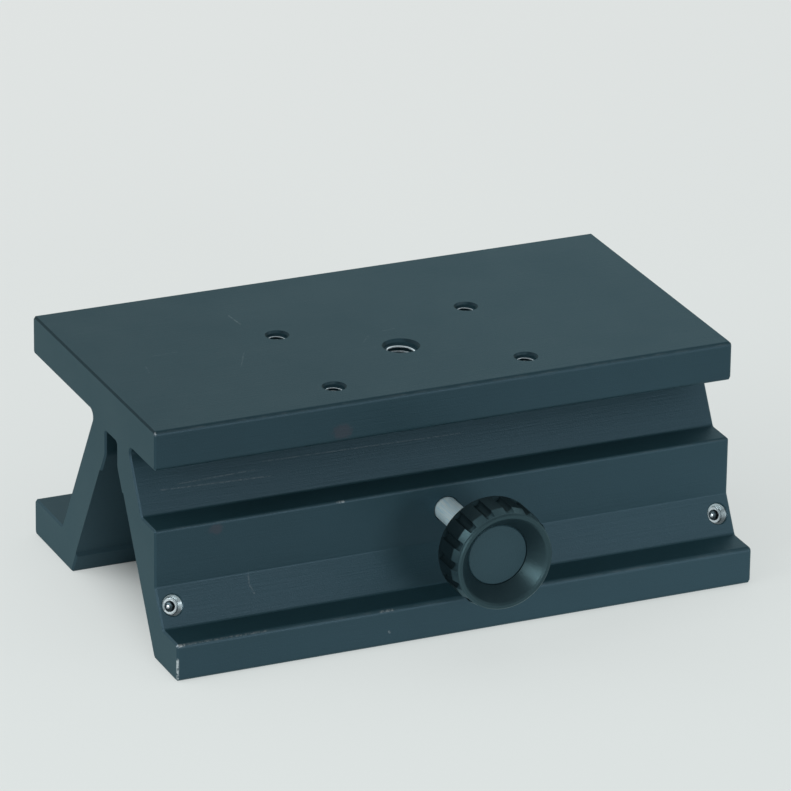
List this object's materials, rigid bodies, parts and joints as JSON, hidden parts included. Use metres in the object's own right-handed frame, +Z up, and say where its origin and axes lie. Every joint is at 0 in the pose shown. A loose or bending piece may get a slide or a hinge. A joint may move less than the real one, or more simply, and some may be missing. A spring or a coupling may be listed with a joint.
{
  "type": "optical bench rider",
  "caption": "Black anodised rider that straddles a triangular optical rail and carries a tapped mounting plate, with a side knob that clamps it in place.",
  "frame": {"origin": "middle of the rider's length, on the middle plane of the rail groove, in the plane that the feet stand on", "axes": "+X along the rail, +Y across it away from the knob, +Z up, square to the plate"},
  "size_m": [0.15, 0.1134, 0.058],
  "materials": {
    "black_anodised": "satin black anodised, a little blue-green, fine die lines along the length",
    "bright_steel": "ground bright steel",
    "screw_steel": "bright zinc-plated socket screw",
    "brass": "turned brass",
    "black_plastic": "satin black moulded plastic",
    "cap_plastic": "matt dark grey plastic"
  },
  "bodies": {
    "rider": {"rider_body": "black_anodised"},
    "clamp_nose": {"clamp_nose": "brass"},
    "clamp_screw": {"clamp_spindle": "bright_steel", "knob_grip": "black_plastic", "knob_bush": "brass", "knob_collet": "brass", "collet_nut": "brass", "knob_cap": "cap_plastic"},
    "left_pin": {"left_pressure_pin": "brass"},
    "left_screw": {"left_set_screw": "screw_steel"},
    "right_pin": {"right_pressure_pin": "brass"},
    "right_screw": {"right_set_screw": "screw_steel"}
  },
  "joints": [
    {"name": "clamp_feed", "type": "slide", "parent": "rider", "child": "clamp_nose", "axis": [0, 1, 0], "range_m": [-0.002, 0.0045]},
    {"name": "clamp_turn", "type": "hinge", "parent": "clamp_nose", "child": "clamp_screw", "pos_m": [0, -0.051, 0.0264], "axis": [0, 1, 0], "range_deg": [-720, 1620]},
    {"name": "left_feed", "type": "slide", "parent": "rider", "child": "left_pin", "axis": [0, 0.866, -0.5], "range_m": [-0.0016, 0.002]},
    {"name": "left_turn", "type": "hinge", "parent": "left_pin", "child": "left_screw", "pos_m": [-0.0714, -0.0303, 0.0144], "axis": [0, 0.866, -0.5], "range_deg": [-720, 900]},
    {"name": "right_feed", "type": "slide", "parent": "rider", "child": "right_pin", "axis": [0, 0.866, -0.5], "range_m": [-0.0016, 0.002]},
    {"name": "right_turn", "type": "hinge", "parent": "right_pin", "child": "right_screw", "pos_m": [0.0714, -0.0303, 0.0144], "axis": [0, 0.866, -0.5], "range_deg": [-720, 900]}
  ],
  "couplings": [
    {"joint": "clamp_turn", "follows": "clamp_feed", "rad_per_m": 6283.2},
    {"joint": "left_turn", "follows": "left_feed", "rad_per_m": 7854},
    {"joint": "right_turn", "follows": "right_feed", "rad_per_m": 7854}
  ]
}
